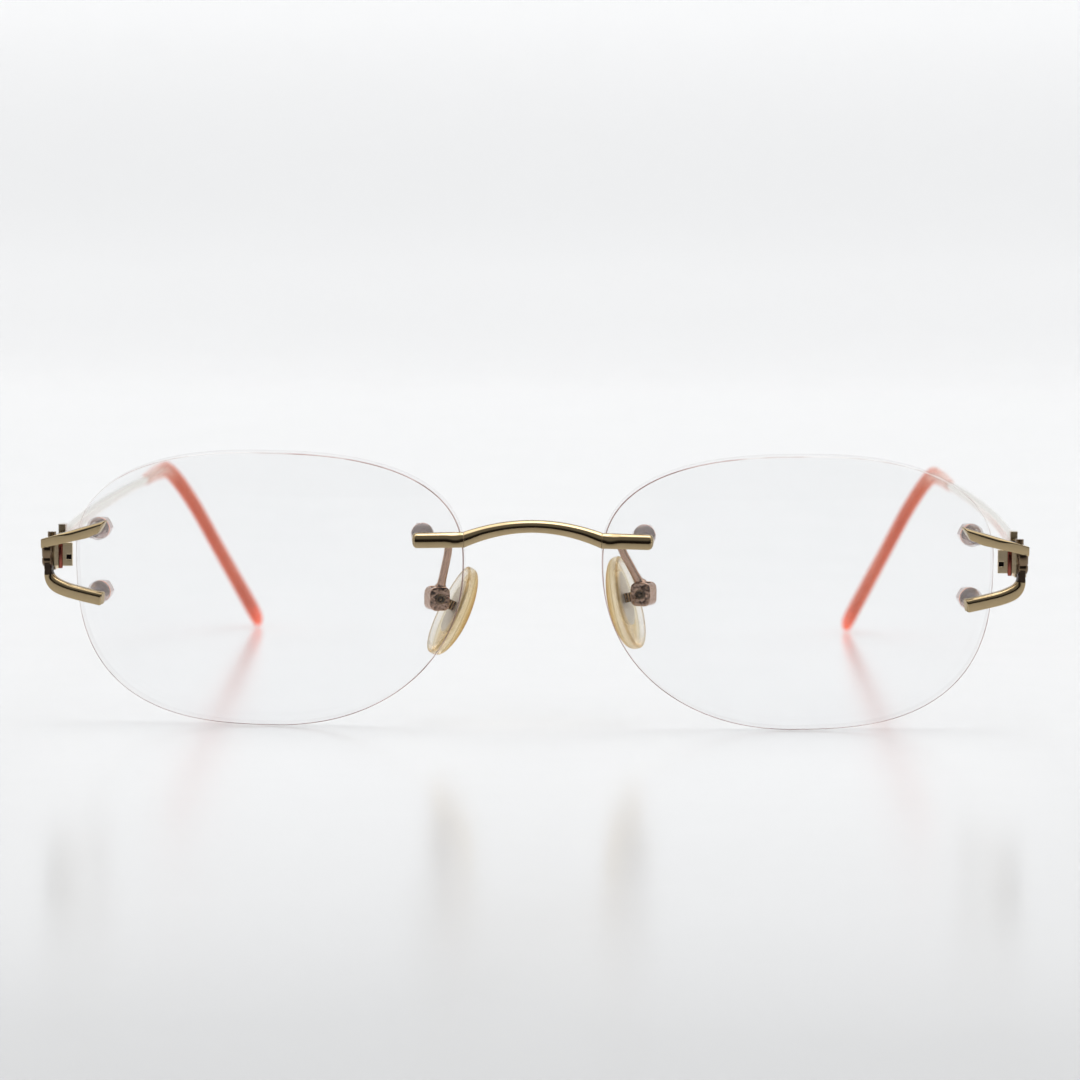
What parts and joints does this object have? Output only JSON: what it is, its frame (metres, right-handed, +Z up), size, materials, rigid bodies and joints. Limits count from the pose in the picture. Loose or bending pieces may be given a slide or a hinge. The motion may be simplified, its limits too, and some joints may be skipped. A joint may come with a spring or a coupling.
{
  "type": "rimless eyeglasses",
  "caption": "Rimless eyeglasses with curved oval lenses, a gold nose bridge, forked end pieces, hinged temples with tortoise tips and rocking nose pads.",
  "frame": {"origin": "on the table plane, under the middle of the open pair", "axes": "+X towards the wearer's left, +Y from the lenses towards the temple tips, +Z up; the front of the lenses faces -Y"},
  "size_m": [0.1356, 0.1332, 0.0382],
  "materials": {
    "clear_lens": "gloss",
    "gold_metal": "polished",
    "rose_metal": "polished",
    "clear_plastic": "gloss",
    "clear_pvc": "gloss",
    "tortoise_acetate": "gloss"
  },
  "bodies": {
    "front": {"nose_bridge": "gold_metal", "lens_left": "clear_lens", "lens_right": "clear_lens", "lens_studs_left": "rose_metal", "lens_studs_right": "rose_metal", "lens_bushes_left": "clear_plastic", "lens_bushes_right": "clear_plastic", "lens_washers_left": "rose_metal", "lens_washers_right": "rose_metal", "lens_nuts_left": "gold_metal", "lens_nuts_right": "gold_metal", "bridge_strap_left": "gold_metal", "bridge_strap_right": "gold_metal", "fork_endpiece_left": "gold_metal", "fork_endpiece_right": "gold_metal", "front_hinge_leaf_left": "gold_metal", "front_hinge_leaf_right": "gold_metal", "hinge_screw_left": "rose_metal", "hinge_screw_right": "rose_metal", "pad_box_left": "rose_metal", "pad_box_right": "rose_metal", "pad_screw_left": "rose_metal", "pad_screw_right": "rose_metal", "pad_arm_left": "rose_metal", "pad_arm_right": "rose_metal"},
    "temple_left": {"temple_bar_left": "gold_metal", "temple_tip_left": "tortoise_acetate", "temple_hinge_leaf_left": "gold_metal"},
    "temple_right": {"temple_bar_right": "gold_metal", "temple_tip_right": "tortoise_acetate", "temple_hinge_leaf_right": "gold_metal"},
    "pad_left": {"nose_pad_left": "clear_pvc", "pad_insert_left": "rose_metal"},
    "pad_right": {"nose_pad_right": "clear_pvc", "pad_insert_right": "rose_metal"}
  },
  "joints": [
    {"name": "temple_left_fold", "type": "hinge", "parent": "front", "child": "temple_left", "pos_m": [0.06665, -0.0561, 0.02315], "axis": [0, 0, 1], "range_deg": [0, 80]},
    {"name": "temple_right_fold", "type": "hinge", "parent": "front", "child": "temple_right", "pos_m": [-0.06665, -0.0561, 0.02315], "axis": [0, 0, -1], "range_deg": [0, 68]},
    {"name": "pad_left_rock", "type": "hinge", "parent": "front", "child": "pad_left", "pos_m": [0.0151, -0.0558, 0.0182], "axis": [0.3907, 0.9205, 0], "range_deg": [-7, 7]},
    {"name": "pad_right_rock", "type": "hinge", "parent": "front", "child": "pad_right", "pos_m": [-0.0134, -0.0558, 0.01735], "axis": [-0.3907, 0.9205, 0], "range_deg": [-7, 7]}
  ]
}
